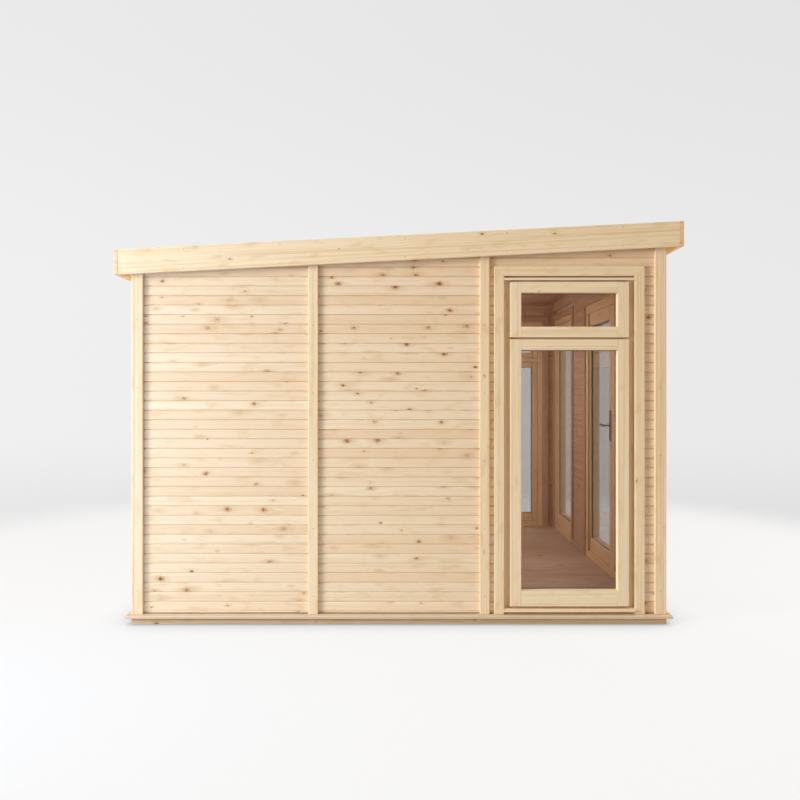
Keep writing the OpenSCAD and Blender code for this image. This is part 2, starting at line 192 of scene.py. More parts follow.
def finish(name, piece, body, slot, material, *nodes):
    mesh = bpy.data.meshes.new(name)
    piece.to_mesh(mesh)
    piece.free()
    mesh.materials.append(material)
    built = bpy.data.objects.new(name, mesh)
    bpy.context.scene.collection.objects.link(built)
    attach(built, body)
    if nodes:
        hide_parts(*nodes)
    return built


def put(tree, kind, inputs=None, **settings):
    node = tree.nodes.new("ShaderNode" + kind)
    for key, value in settings.items():
        setattr(node, key, value)
    for key, value in (inputs or {}).items():
        if isinstance(value, bpy.types.NodeSocket):
            tree.links.new(value, node.inputs[key])
        else:
            node.inputs[key].default_value = value
    return node


def reckon(tree, operation, a, b=0.0, clamp=False):
    return put(tree, "Math", {0: a, 1: b}, operation=operation, use_clamp=clamp).outputs[0]


def ramp(tree, value, low, high, atLow, atHigh):
    return put(tree, "MapRange", {"Value": value, "From Min": low, "From Max": high, "To Min": atLow,
                                  "To Max": atHigh}, interpolation_type="SMOOTHSTEP").outputs[0]


def blend(tree, share, under, over, kind="MIX"):
    node = put(tree, "Mix", data_type="RGBA", blend_type=kind)
    for socket, value in zip((node.inputs["Factor"], node.inputs[6], node.inputs[7]), (share, under, over)):
        if isinstance(value, bpy.types.NodeSocket):
            tree.links.new(value, socket)
        else:
            socket.default_value = value if socket.type == "VALUE" else (*value, 1.0)
    return node.outputs[2]


def newMaterial(name):
    material = bpy.data.materials.new(name)
    material.use_nodes = True
    material.node_tree.nodes.clear()
    return material, material.node_tree


def makePine(name, pale, amber, rosy, knots, bands=0.45, rings=0.12, roughness=0.62, objectTurn=None):
    # knots holds their share of the cells, the cell's length and width, and the smallest and largest radius
    material, tree = newMaterial(name)
    if objectTurn is None:
        grain = put(tree, "UVMap", uv_map="grain").outputs["UV"]
    else:
        spot = put(tree, "TexCoord").outputs["Object"]
        grain = put(tree, "Mapping", {"Vector": spot, "Rotation": objectTurn}).outputs[0]
    tone = put(tree, "Attribute", attribute_name="tone").outputs["Fac"]
    endGrain = put(tree, "Attribute", attribute_name="endGrain").outputs["Fac"]
    share, long, wide, small, large = knots

    # a few cells of a stretched cell pattern hold a knot each
    cells = put(tree, "Mapping", {"Vector": grain, "Scale": (1 / long, 1 / wide, 1)}).outputs[0]
    knot = put(tree, "TexVoronoi", {"Vector": cells, "Scale": 1.0, "Randomness": 0.9},
               voronoi_dimensions="2D")
    dice = put(tree, "SeparateColor", {"Color": knot.outputs["Color"]})
    present = reckon(tree, "LESS_THAN", dice.outputs[0], share)
    strength = ramp(tree, dice.outputs[2], 0.30, 0.95, 0.08, 1.0)
    radius = ramp(tree, dice.outputs[1], 0.0, 1.0, small, large)
    away = put(tree, "VectorMath", {0: cells, 1: knot.outputs["Position"]}, operation="SUBTRACT").outputs[0]
    away = put(tree, "VectorMath", {0: away, 1: (long, wide, 0)}, operation="MULTIPLY").outputs[0]
    rag = put(tree, "TexNoise", {"Vector": grain, "Scale": 95.0, "Detail": 3.0}, noise_dimensions="2D")
    rag = put(tree, "VectorMath", {0: rag.outputs["Color"], 1: (0.5, 0.5, 0.5)},
              operation="SUBTRACT").outputs[0]
    rag = put(tree, "VectorMath", {0: rag, "Scale": 0.020}, operation="SCALE").outputs[0]
    ragged = put(tree, "VectorMath", {0: away, 1: rag}, operation="ADD").outputs[0]

    def blot(stretch, inner, outer):
        # 1 in the middle of a knot, 0 past the outer radius; stretch lengthens it along the board
        flat = put(tree, "VectorMath", {0: ragged, 1: (1 / stretch, 1, 0)}, operation="MULTIPLY").outputs[0]
        reach = put(tree, "VectorMath", {0: flat}, operation="LENGTH").outputs["Value"]
        reach = reckon(tree, "DIVIDE", reach, radius)
        return reckon(tree, "MULTIPLY", ramp(tree, reach, inner, outer, 1.0, 0.0), present)

    core, collar = blot(1.3, 0.3, 1.0), blot(1.6, 0.8, 1.9)
    halo, swirl = blot(2.6, 0.6, 3.4), blot(3.0, 0.5, 6.0)

    # the grain parts round a knot
    parts = put(tree, "SeparateXYZ", {0: grain})
    push = reckon(tree, "MULTIPLY", put(tree, "SeparateXYZ", {0: away}).outputs["Y"], swirl)
    along, across = parts.outputs["X"], reckon(tree, "SUBTRACT", parts.outputs["Y"], push)

    def streaks(perMetre, acrossMetre, detail, rough=0.5):
        spot = put(tree, "CombineXYZ", {"X": reckon(tree, "MULTIPLY", along, perMetre),
                                        "Y": reckon(tree, "MULTIPLY", across, acrossMetre)}).outputs[0]
        return put(tree, "TexNoise", {"Vector": spot, "Scale": 1.0, "Detail": detail, "Roughness": rough},
                   noise_dimensions="2D").outputs["Fac"]

    fine = streaks(5.0, 420.0, 3.0, 0.6)
    band = streaks(0.7, 80.0, 2.5, 0.55)
    cloud = streaks(7.0, 22.0, 2.0)
    drift = streaks(1.1, 9.0, 1.0)
    ring = reckon(tree, "MULTIPLY", across, 120.0)
    ring = reckon(tree, "ADD", ring, reckon(tree, "MULTIPLY", drift, 7.0))
    ring = reckon(tree, "SINE", reckon(tree, "MULTIPLY", ring, 2 * math.pi))
    ring = reckon(tree, "POWER", reckon(tree, "ADD", reckon(tree, "MULTIPLY", ring, 0.5), 0.5), 3.0)

    colour = blend(tree, tone, pale, rosy)
    colour = blend(tree, ramp(tree, cloud, 0.52, 0.78, 0.0, 0.5), colour, amber)
    colour = blend(tree, ramp(tree, band, 0.42, 0.72, 0.0, bands), colour, amber)
    colour = blend(tree, reckon(tree, "MULTIPLY", ring, rings), colour, amber, "MULTIPLY")
    colour = blend(tree, ramp(tree, fine, 0.35, 0.75, 0.0, 0.16), colour, amber, "MULTIPLY")
    colour = blend(tree, reckon(tree, "MULTIPLY", halo, 0.50), colour, knotStains["halo"])
    for spread, share, stain in ((collar, 0.75, knotStains["collar"]), (core, 0.9, knotStains["core"])):
        spread = reckon(tree, "MULTIPLY", reckon(tree, "MULTIPLY", spread, share), strength)
        colour = blend(tree, spread, colour, stain)
    colour = blend(tree, reckon(tree, "MULTIPLY", endGrain, 0.3), colour, amber, "MULTIPLY")

    height = reckon(tree, "ADD", reckon(tree, "MULTIPLY", fine, 0.6), reckon(tree, "MULTIPLY", ring, -0.3))
    height = reckon(tree, "SUBTRACT", height, reckon(tree, "MULTIPLY", core, 0.5))
    bump = put(tree, "Bump", {"Height": height, "Strength": 0.35, "Distance": 0.0008})
    rough = ramp(tree, fine, 0.2, 0.8, roughness - 0.08, roughness + 0.08)
    shader = put(tree, "BsdfPrincipled", {"Base Color": colour, "Roughness": rough,
                                          "Normal": bump.outputs[0], "Specular IOR Level": 0.3})
    put(tree, "OutputMaterial", {"Surface": shader.outputs[0]})
    return material


def makeGlass(name, tint, gloss, most):
    material, tree = newMaterial(name)
    clear = put(tree, "BsdfTransparent", {"Color": (*tint, 1)})
    shine = put(tree, "BsdfGlossy", {"Color": (1, 1, 1, 1), "Roughness": 0.03})
    edge = put(tree, "LayerWeight", {"Blend": gloss}).outputs["Fresnel"]
    edge = reckon(tree, "MINIMUM", edge, most)
    mixed = put(tree, "MixShader", {0: edge, 1: clear.outputs[0], 2: shine.outputs[0]})
    put(tree, "OutputMaterial", {"Surface": mixed.outputs[0]})
    return material


def makeMetal(name, colour, roughness, brushed):
    material, tree = newMaterial(name)
    spot = put(tree, "TexCoord").outputs["Object"]
    spot = put(tree, "Mapping", {"Vector": spot, "Scale": brushed}).outputs[0]
    scratch = put(tree, "TexNoise", {"Vector": spot, "Scale": 1.0, "Detail": 3.0}).outputs["Fac"]
    shade = blend(tree, ramp(tree, scratch, 0.3, 0.7, 0.0, 0.4), colour, [0.6 * part for part in colour])
    bump = put(tree, "Bump", {"Height": scratch, "Strength": 0.15, "Distance": 0.0003})
    rough = ramp(tree, scratch, 0.2, 0.8, roughness - 0.06, roughness + 0.1)
    shader = put(tree, "BsdfPrincipled", {"Base Color": shade, "Roughness": rough, "Metallic": 1.0,
                                          "Normal": bump.outputs[0]})
    put(tree, "OutputMaterial", {"Surface": shader.outputs[0]})
    return material


def makeRubber(name, colour, roughness):
    material, tree = newMaterial(name)
    spot = put(tree, "TexCoord").outputs["Object"]
    blotch = put(tree, "TexNoise", {"Vector": spot, "Scale": 3.0, "Detail": 5.0}).outputs["Fac"]
    speck = put(tree, "TexNoise", {"Vector": spot, "Scale": 260.0, "Detail": 2.0}).outputs["Fac"]
    shade = blend(tree, ramp(tree, blotch, 0.35, 0.7, 0.0, 0.8), colour, [1.6 * part for part in colour])
    bump = put(tree, "Bump", {"Height": speck, "Strength": 0.3, "Distance": 0.0006})
    rough = ramp(tree, blotch, 0.3, 0.7, roughness - 0.08, roughness + 0.08)
    shader = put(tree, "BsdfPrincipled", {"Base Color": shade, "Roughness": rough,
                                          "Normal": bump.outputs[0]})
    put(tree, "OutputMaterial", {"Surface": shader.outputs[0]})
    return material


knotStains = {"halo": (0.68, 0.46, 0.24), "collar": (0.52, 0.23, 0.10), "core": (0.17, 0.055, 0.026)}
claddingPine = makePine("claddingPine", (0.91, 0.745, 0.53), (0.76, 0.54, 0.30), (0.85, 0.64, 0.42),
                        (0.36, 0.20, 0.054, 0.003, 0.0105), bands=0.35)
trimPine = makePine("trimPine", (0.93, 0.77, 0.53), (0.77, 0.54, 0.27), (0.91, 0.71, 0.47),
                    (0.10, 0.20, 0.060, 0.0015, 0.005), bands=0.60, rings=0.16)
joineryPine = makePine("joineryPine", (0.93, 0.78, 0.53), (0.78, 0.57, 0.31), (0.92, 0.73, 0.51),
                       (0.08, 0.22, 0.060, 0.001, 0.003), bands=0.55, rings=0.15)
# the sills are darker and greyer than the trims partly for weathering and partly as painted shade from the
# step above them
sillPineWornAndShaded = makePine("sillPineWornAndShaded", (0.72, 0.585, 0.40), (0.64, 0.46, 0.28), (0.77, 0.60, 0.41),
                    (0.10, 0.25, 0.060, 0.002, 0.005), bands=0.60, rings=0.16)
basePine = makePine("basePine", (0.80, 0.635, 0.40), (0.60, 0.41, 0.21), (0.72, 0.53, 0.34),
                    (0.15, 0.30, 0.060, 0.004, 0.010), bands=0.7, rings=0.3)
# the room's lining is the same pine as the outside, coloured darker and redder as painted shade for the dim
# room; the ceiling boards, inner architraves and skirting use it too
liningPinePaintedShade = makePine("liningPinePaintedShade", (0.72, 0.56, 0.43), (0.54, 0.35, 0.23), (0.70, 0.50, 0.38),
                      (0.20, 0.30, 0.090, 0.004, 0.010), bands=0.8, rings=0.35)
floorPine = makePine("floorPine", (0.72, 0.57, 0.45), (0.50, 0.33, 0.23), (0.70, 0.53, 0.41),
                     (0.32, 0.45, 0.120, 0.010, 0.022), bands=0.8, rings=0.4)
deckPine = makePine("deckPine", (0.74, 0.57, 0.36), (0.60, 0.40, 0.20), (0.72, 0.50, 0.32),
                    (0.10, 0.30, 0.090, 0.004, 0.010), objectTurn=(0, 0, math.pi / 2))
windowGlass = makeGlass("windowGlass", (0.914, 0.909, 0.907), 0.08, 0.10)
hingeSteel = makeMetal("hingeSteel", (0.62, 0.61, 0.59), 0.34, (200, 200, 900))
handleSteel = makeMetal("handleSteel", (0.55, 0.53, 0.50), 0.28, (900, 200, 200))
darkSteel = makeMetal("darkSteel", (0.16, 0.13, 0.11), 0.45, (300, 300, 300))
roofRubber = makeRubber("roofRubber", (0.035, 0.037, 0.040), 0.62)
# dark spacer seal of the sealed glazing units: a real part, whose near-black colour also stands in for the
# shadow line in the glazing rebate as painted shade
sealRubberAndShade = makeRubber("sealRubberAndShade", (0.025, 0.024, 0.023), 0.55)
print("materials ready")

base = {"edge": 0.002, "floorBoard": 0.120, "floorEdge": 0.0012, "joistWidth": 0.044, "joists": 11}


def buildBase():
    bearers, joists, floor = newPiece(), newPiece(), newPiece()
    run = (-halfLength, halfLength)
    for side in (-1, 1):
        span = sorted((side * halfWidth, side * (halfWidth - base["joistWidth"])))
        addBoard(bearers, (span, run, (0, bearerTop)), alongD, edge=base["edge"])
    finish("sideBearers", bearers, "building", "base_timber", basePine, "side_bearers")

    (x, y, z) = boxIn(asBuilt, "floor_joists")
    step = (y[1] - y[0] - base["joistWidth"]) / (base["joists"] - 1)
    for count in range(base["joists"]):
        low = y[0] + count * step
        addBoard(joists, (x, (low, low + base["joistWidth"]), z), alongU, edge=base["edge"])
    finish("floorJoists", joists, "building", "base_timber", basePine, "floor_joists")

    (x, y, z) = boxIn(asBuilt, "floor_deck")
    count = round((x[1] - x[0]) / base["floorBoard"])
    width = (x[1] - x[0]) / count
    for number in range(count):
        low = x[0] + number * width
        addBoard(floor, ((low, low + width), y, z), alongD, edge=base["floorEdge"])
    finish("floorBoards", floor, "building", "floor_boards", floorPine, "floor_deck")


sill = {"reach": 0.044, "fall": 0.003, "nose": 0.004, "noseSteps": 4}


def buildSills():
    sills = newPiece()
    tip = claddingDepth - sill["reach"]
    nose, noseTop = sill["nose"], sillTop - sill["fall"]
    outline = [(claddingDepth, sillTop), (claddingDepth, bearerTop)]
    for height, turn in ((bearerTop + nose, -90), (noseTop - nose, -180)):
        for step in range(sill["noseSteps"] + 1):
            angle = math.radians(turn - step * 90 / sill["noseSteps"])
            outline.append((tip + nose + nose * math.cos(angle), height + nose * math.sin(angle)))
    for place in (onLeft, onRight, onFront, onBack):
        end = halfAlong(place) - tip
        cuts = [(Vector((side * end, tip, 0)), Vector((side, 1, 0))) for side in (-1, 1)]
        addBoard(sills, ((-end, end), (tip, claddingDepth), (bearerTop, sillTop)), alongU, place,
                 outline=outline, cuts=cuts, edge=0)
    finish("dripSills", sills, "building", "sill_timber", sillPineWornAndShaded, "side_sills", "end_sills")


buildBase()
buildSills()
print("base built")

shiplap = {"pitch": 0.0538, "start": 0.0181, "thickness": 0.012, "corner": 0.0012, "faceShare": 0.80,
           "slopeShare": 0.93, "slopeDepth": 0.0036, "shadowDepth": 0.0068, "sillGap": 0.0005,
           "headLap": 0.01, "shortest": 0.002}
lining = {"pitch": 0.090, "thickness": 0.012, "joint": 0.0025}


def shiplapOutline(low):
    face, pitch = claddingDepth, shiplap["pitch"]
    return [(face + shiplap["thickness"], low), (face + shiplap["corner"], low),
            (face, low + shiplap["corner"]), (face, low + shiplap["faceShare"] * pitch),
            (face + shiplap["slopeDepth"], low + shiplap["slopeShare"] * pitch),
            (face + shiplap["shadowDepth"], low + pitch), (face + shiplap["thickness"], low + pitch)]


def liningOutline(low):
    face, joint, top = liningDepth, lining["joint"], low + lining["pitch"]
    back = face - lining["thickness"]
    return [(back, low), (face - joint, low), (face, low + joint), (face, top - joint), (face - joint, top),
            (back, top)]


sillCut = (Vector((0, 0, sillTop + shiplap["sillGap"])), Vector((0, 0, -1)))


def addRows(piece, place, u, start, pitch, outline, opening):
    # horizontal boards from the start to the roof, broken at an opening
    top = max((place @ Vector((end, 0, 0))).y * -roofFall + wallTop for end in u)
    low = start
    while low < top:
        parts = [u]
        if opening and low < opening[1][1] - shiplap["headLap"]:
            parts = [(u[0], opening[0][0]), (opening[0][1], u[1])]
        for part in parts:
            if part[1] - part[0] > shiplap["shortest"]:
                section = outline(low)
                depths = [spot[0] for spot in section]
                spans = (part, (min(depths), max(depths)), (low, low + pitch))
                addBoard(piece, spans, alongU, place, section, [roofCut(place), sillCut], edge=0)
        low += pitch


def buildWall(node, name, place, opening=None, outerEnds=(None, None), foot=None):
    # foot is the height that the cladding starts above, over the doorway
    cladding, inside = newPiece(), newPiece()
    u, _, z = boxIn(place, node)
    outer = (outerEnds[0] or u[0], outerEnds[1] or u[1])
    rows = math.ceil((foot - shiplap["start"]) / shiplap["pitch"]) if foot else 0
    start = shiplap["start"] + rows * shiplap["pitch"]
    addRows(cladding, place, outer, start, shiplap["pitch"], shiplapOutline, opening)
    roomU = (max(u[0], -roomEnd(place)), min(u[1], roomEnd(place)))
    addRows(inside, place, roomU, z[0], lining["pitch"], liningOutline, opening)
    core = (claddingDepth + shiplap["thickness"], liningDepth - lining["thickness"])
    coreU = (max(outer[0], -coreEnd(place)), min(outer[1], coreEnd(place)))
    blocks = [(coreU, z)]
    if opening:
        left, right = opening[0]
        blocks = [((coreU[0], left), z), ((right, coreU[1]), z), ((left, right), (opening[1][1], z[1]))]
    for span, height in blocks:
        addBoard(cladding, (span, core, height), alongZ, place, cuts=[roofCut(place)], edge=0)
    finish(name + "Cladding", cladding, "building", "cladding", claddingPine, node)
    finish(name + "Lining", inside, "building", "lining_boards", liningPinePaintedShade)


def roomEnd(place):
    return halfAlong(place) - liningDepth


def coreEnd(place):
    if place in bothSides:
        return halfLength - claddingDepth - shiplap["thickness"]
    return roomEnd(place) + lining["thickness"]


sideOpening = boxIn(onLeft, "side_window_frames")[::2]
frontOpening = boxIn(onFront, "front_window_frame")[::2]
doorOpening = boxIn(onFront, "door_frame")[::2]
endCladding = halfWidth - claddingDepth - shiplap["thickness"]

for side, place in (("left", onLeft), ("right", onRight)):
    buildWall(side + "_wall_back", side + "WallBack", place)
    buildWall(side + "_wall_middle", side + "WallMiddle", place)
    buildWall(side + "_wall_front", side + "WallFront", place, sideOpening)
buildWall("back_wall_left", "backWallLeft", onBack, outerEnds=(None, endCladding))
buildWall("back_wall_middle", "backWallMiddle", onBack)
buildWall("back_wall_right", "backWallRight", onBack, outerEnds=(-endCladding, None))
buildWall("front_wall_corner", "frontWallCorner", onFront, outerEnds=(-endCladding, None))
buildWall("front_wall_over_door", "frontWallOverDoor", onFront, foot=doorOpening[1][1])
buildWall("front_wall_right", "frontWallRight", onFront, frontOpening, (None, endCladding))
print("walls built")

trims = {"cornerWidth": 0.064, "coverWidth": 0.054, "edge": 0.0025}
coverPlaces = ((onLeft, "left_wall_middle"), (onRight, "right_wall_middle"), (onBack, "back_wall_middle"))


def buildTrims():
    corners, covers = newPiece(), newPiece()
    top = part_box("corner_trims")[1].z
    thick, wide, height = claddingDepth, trims["cornerWidth"], (sillTop, top)
    faceX, faceY = halfWidth - thick, halfLength - thick
    for sideX in (-1, 1):
        for sideY in (-1, 1):
            place = Matrix.Diagonal((sideX, sideY, 1, 1))
            for x, y in (((halfWidth - wide, halfWidth), (faceY, halfLength)),
                         ((faceX, halfWidth), (halfLength - wide, faceY))):
                addBoard(corners, (x, y, height), alongZ, place, cuts=[roofCut(place)], edge=trims["edge"])
    finish("cornerTrims", corners, "building", "trim_timber", trimPine, "corner_trims")

    half = trims["coverWidth"] / 2
    for place, node in coverPlaces:
        for joint in boxIn(place, node)[0]:
            addBoard(covers, ((joint - half, joint + half), (0, thick), height), alongZ, place,
                     cuts=[roofCut(place)], edge=trims["edge"])
    finish("coverTrims", covers, "building", "trim_timber", trimPine, "cover_trims")


roof = {"edge": 0.002, "ceilingBoard": 0.095, "ceilingEdge": 0.0022, "thickness": 0.012, "soffitGap": 0.001}


def levelLimits(y, z):
    # the two faces of a sloping piece at the middle of the building
    return z[0] + roofFall * y[1], z[1] + roofFall * y[0]


def buildRoof():
    x, y, z = boxIn(asBuilt, "side_fascias")
    ends = boxIn(asBuilt, "end_fascias")
    panel = boxIn(asBuilt, "roof_panel")
    height = levelLimits(y, z)
    fascias = newPiece()
    for side in (-1, 1):
        span = sorted((side * panel[0][1], side * x[1]))
        addBoard(fascias, (span, y, height), alongD, onRoof, edge=roof["edge"])
    finish("sideFascias", fascias, "building", "trim_timber", trimPine, "side_fascias")
    endBoards = newPiece()
    for side in (-1, 1):
        span = sorted((side * panel[1][1], side * ends[1][1]))
        addBoard(endBoards, (ends[0], span, height), alongU, onRoof, edge=roof["edge"])
    finish("endFascias", endBoards, "building", "trim_timber", trimPine, "end_fascias")

    under = (wallTop - roof["thickness"], wallTop)
    ceiling = newPiece()
    x, y, _ = boxIn(asBuilt, "ceiling_lining")
    count = round((y[1] - y[0]) / roof["ceilingBoard"])
    width = (y[1] - y[0]) / count
    for number in range(count):
        start = y[0] + number * width
        addBoard(ceiling, (x, (start, start + width), under), alongU, onRoof, edge=roof["ceilingEdge"])
    finish("ceilingBoards", ceiling, "building", "lining_boards", liningPinePaintedShade, "ceiling_lining")

    soffits = newPiece()
    x, y, _ = boxIn(asBuilt, "soffit_boards")
    between = (-halfLength + roof["soffitGap"], halfLength - roof["soffitGap"])
    for side in (-1, 1):
        span = sorted((side * halfLength, side * y[1]))
        addBoard(soffits, (x, span, under), alongU, onRoof, edge=roof["edge"])
        span = sorted((side * halfWidth, side * x[1]))
        addBoard(soffits, (span, between, under), alongD, onRoof, edge=roof["edge"])
    finish("soffitBoards", soffits, "building", "trim_timber", trimPine, "soffit_boards")


buildTrims()
buildRoof()
print("trims and roof built")

joinery = {"jamb": 0.060, "lip": 0.034, "lap": 0.012, "gap": 0.003, "edge": 0.0015, "architrave": 0.056,
           "fineEdge": 0.0008, "architraveLap": 0.015, "architraveEdge": 0.003, "innerArchitrave": 0.012}
drip = {"height": 0.019, "reach": 0.012, "fall": 0.005, "gap": 0.010, "chamfer": 0.003, "edge": 0.001}


def addFrame(piece, place, u, z, sashZ):
    jamb, lip, lap = joinery["jamb"], joinery["lip"], joinery["lap"]
    clear = (u[0] + jamb, u[1] - jamb)
    depth = (lip, liningDepth)
    for span in ((u[0], clear[0]), (clear[1], u[1])):
        addBoard(piece, (span, depth, (floorTop, z[1])), alongZ, place, edge=joinery["edge"])
    addBoard(piece, (clear, depth, (z[1] - jamb, z[1])), alongU, place, edge=joinery["edge"])
    addBoard(piece, (clear, depth, (floorTop, sashZ[0] + lap)), alongU, place, edge=joinery["edge"])
    between = (u[0] + joinery["architraveLap"], u[1] - joinery["architraveLap"])
    top, foot = sashZ[1] + drip["gap"], sashZ[0] - drip["gap"]
    for front, low, high in ((0, top, top + drip["height"]), (-drip["reach"], foot - drip["height"], foot)):
        brow = high - drip["fall"]
        outline = [(front, low), (lip, low), (lip, high), (front + drip["chamfer"], brow),
                   (front, brow - drip["chamfer"])]
        addBoard(piece, (between, (front, lip), (low, high)), alongU, place, outline, edge=drip["edge"])


def addSash(piece, place, u, z, glassU, glassD, glassZ, lip, laps):
    # each stile and rail is an outer lip and a body behind it, with a step that holds the glazing bead
    left, right, foot, head = laps
    bead, depth = glazing["bead"], glassD[1] + glazing["bead"]
    inner = (u[0] + left, u[1] - right)
    inside = (z[0] + foot, z[1] - head)
    fine = joinery["fineEdge"]
    for sign, outer, body, opening in ((1, u[0], inner[0], glassU[0]), (-1, u[1], inner[1], glassU[1])):
        step = opening - sign * bead
        outline = [(body, lip), (opening, lip), (opening, glassD[1]), (step, glassD[1]), (step, depth),
                   (body, depth)]
        addBoard(piece, (sorted((outer, opening)), (0, lip), z), alongZ, place, edge=joinery["edge"])
        addBoard(piece, (sorted((body, opening)), (lip, depth), inside), alongZ, place, outline, edge=fine)
    for sign, outer, body, opening in ((1, z[0], inside[0], glassZ[0]), (-1, z[1], inside[1], glassZ[1])):
        step = opening - sign * bead
        outline = [(lip, body), (lip, opening), (glassD[1], opening), (glassD[1], step), (depth, step),
                   (depth, body)]
        addBoard(piece, (glassU, (0, lip), sorted((outer, opening))), alongU, place, edge=joinery["edge"])
        addBoard(piece, (glassU, (lip, depth), sorted((body, opening))), alongU, place, outline, edge=fine)


glazing = {"clearance": 0.0003, "pane": 0.004, "paneEdge": 0.0004, "spacer": 0.0025, "seat": 0.0004,
           "bead": 0.009, "beadEdge": 0.0025}


def glassIn(place, node):
    # the opening in the sash, a hair wider than the glass unit
    u, d, z = boxIn(place, node)
    wide = glazing["clearance"]
    return (u[0] - wide, u[1] + wide), d, (z[0] - wide, z[1] + wide)


def addGlazing(panes, spacers, beads, place, u, d, z):
    seat, pane, bead = glazing["seat"], glazing["pane"], glazing["bead"]
    inU, inZ = (u[0] + seat, u[1] - seat), (z[0] + seat, z[1] - seat)
    for span in ((d[0], d[0] + pane), (d[1] - pane, d[1])):
        addBoard(panes, (inU, span, inZ), alongU, place, edge=glazing["paneEdge"])
    # the spacer ring is a real part of the unit; kept near-black, it also paints the rebate's shade line
    # round the glass
    addRing(spacers, inU, (d[0] + pane, d[1] - pane), inZ, glazing["spacer"], place, edge=0)
    beadU, beadZ = (u[0] - bead, u[1] + bead), (z[0] - bead, z[1] + bead)
    addRing(beads, beadU, (d[1] + seat, d[1] + bead), beadZ, bead, place, edge=glazing["beadEdge"])


def buildSideWindows():
    frames, vents, mains, panes, spacers = (newPiece() for count in range(5))
    outer, inner = newPiece(), newPiece()
    for place in bothSides:
        u, z = sideOpening
        ventU, _, ventZ = boxIn(place, "side_vent_sashes")
        mainU, _, mainZ = boxIn(place, "side_main_sashes")
        glassU, _, glassZ = glassIn(place, "side_window_glass")
        glassD = boxIn(onFront, "front_window_glass")[1]
        rail = ventZ[1] - glassZ[1]
        ventGlass = (ventZ[0] + rail, glassZ[1])
        mainGlass = (glassZ[0], mainZ[1] - rail)
        addFrame(frames, place, u, z, (mainZ[0], ventZ[1]))
        lap, lip = joinery["lap"], joinery["lip"]
        clear = (u[0] + joinery["jamb"], u[1] - joinery["jamb"])
        addBoard(frames, (clear, (lip, liningDepth), (mainZ[1] - lap, ventZ[0] + lap)), alongU, place,
                 edge=joinery["edge"])
        laps = [lap + joinery["gap"]] * 4
        for sash, sashU, sashZ, glass in ((vents, ventU, ventZ, ventGlass),
                                          (mains, mainU, mainZ, mainGlass)):
            addSash(sash, place, sashU, sashZ, glassU, glassD, glass, lip, laps)
            addGlazing(panes, spacers, sash, place, glassU, glassD, glass)
        addArchitraves(outer, inner, place, u, z)
    finish("sideWindowFrames", frames, "building", "joinery", joineryPine, "side_window_frames")
    finish("sideVentSashes", vents, "building", "joinery", joineryPine, "side_vent_sashes")
    finish("sideMainSashes", mains, "building", "joinery", joineryPine, "side_main_sashes")
    finish("sideWindowPanes", panes, "building", "glass", windowGlass, "side_window_glass")
    finish("sideWindowSeals", spacers, "building", "roof_sheet", sealRubberAndShade)
    finish("sideWindowArchitraves", outer, "building", "trim_timber", trimPine, "side_window_architraves")
    return inner


def addArchitraves(outer, inner, place, u, z):
    reach = joinery["architrave"] - joinery["architraveLap"]
    wide, top = (u[0] - reach, u[1] + reach), z[1] + reach
    for piece, depth, foot in ((outer, (0, claddingDepth), sillTop),
                               (inner, (liningDepth, liningDepth + joinery["innerArchitrave"]), floorTop)):
        addRing(piece, wide, depth, (foot, top), joinery["architrave"], place, "ltr",
                joinery["architraveEdge"])


skirting = {"height": 0.045, "thickness": 0.012, "edge": 0.003}


def addSkirting(piece):
    # strips round the foot of the walls, between the architraves
    reach = joinery["architrave"] - joinery["architraveLap"]
    thick = skirting["thickness"]
    for place, openings in ((onLeft, [sideOpening]), (onRight, [sideOpening]), (onBack, []),
                            (onFront, [doorOpening, frontOpening])):
        end = roomEnd(place) - (0 if place in bothSides else thick)
        start = -end
        for (low, high), _ in openings + [((end + reach, 0), 0)]:
            if low - reach - start > thick:
                spans = ((start, low - reach), (liningDepth, liningDepth + thick),
                         (floorTop, floorTop + skirting["height"]))
                addBoard(piece, spans, alongU, place, edge=skirting["edge"])
            start = high + reach


def buildFront(inner):
    surround, sash, panes, spacers, outer = (newPiece() for count in range(5))
    u, z = frontOpening
    sashU, _, sashZ = boxIn(onFront, "front_window_sash")
    glassU, glassD, glassZ = glassIn(onFront, "front_window_glass")
    addFrame(surround, onFront, u, z, sashZ)
    laps = [joinery["lap"] + joinery["gap"]] * 4
    addSash(sash, onFront, sashU, sashZ, glassU, glassD, glassZ, joinery["lip"], laps)
    addGlazing(panes, spacers, sash, onFront, glassU, glassD, glassZ)
    addArchitraves(outer, inner, onFront, u, z)
    finish("frontWindowFrame", surround, "building", "joinery", joineryPine, "front_window_frame")
    finish("frontWindowSash", sash, "building", "joinery", joineryPine, "front_window_sash")
    finish("frontWindowPanes", panes, "building", "glass", windowGlass, "front_window_glass")
    finish("frontWindowSeals", spacers, "building", "roof_sheet", sealRubberAndShade)
    addArchitraves(outer, inner, onFront, doorOpening[0], doorOpening[1])
    finish("frontArchitraves", outer, "building", "trim_timber", trimPine, "front_architraves")
    addSkirting(inner)
    finish("innerArchitraves", inner, "building", "lining_boards", liningPinePaintedShade, "inner_architraves")


doors = {"leafGap": 0.005, "stop": 0.007, "stopLap": 0.018}


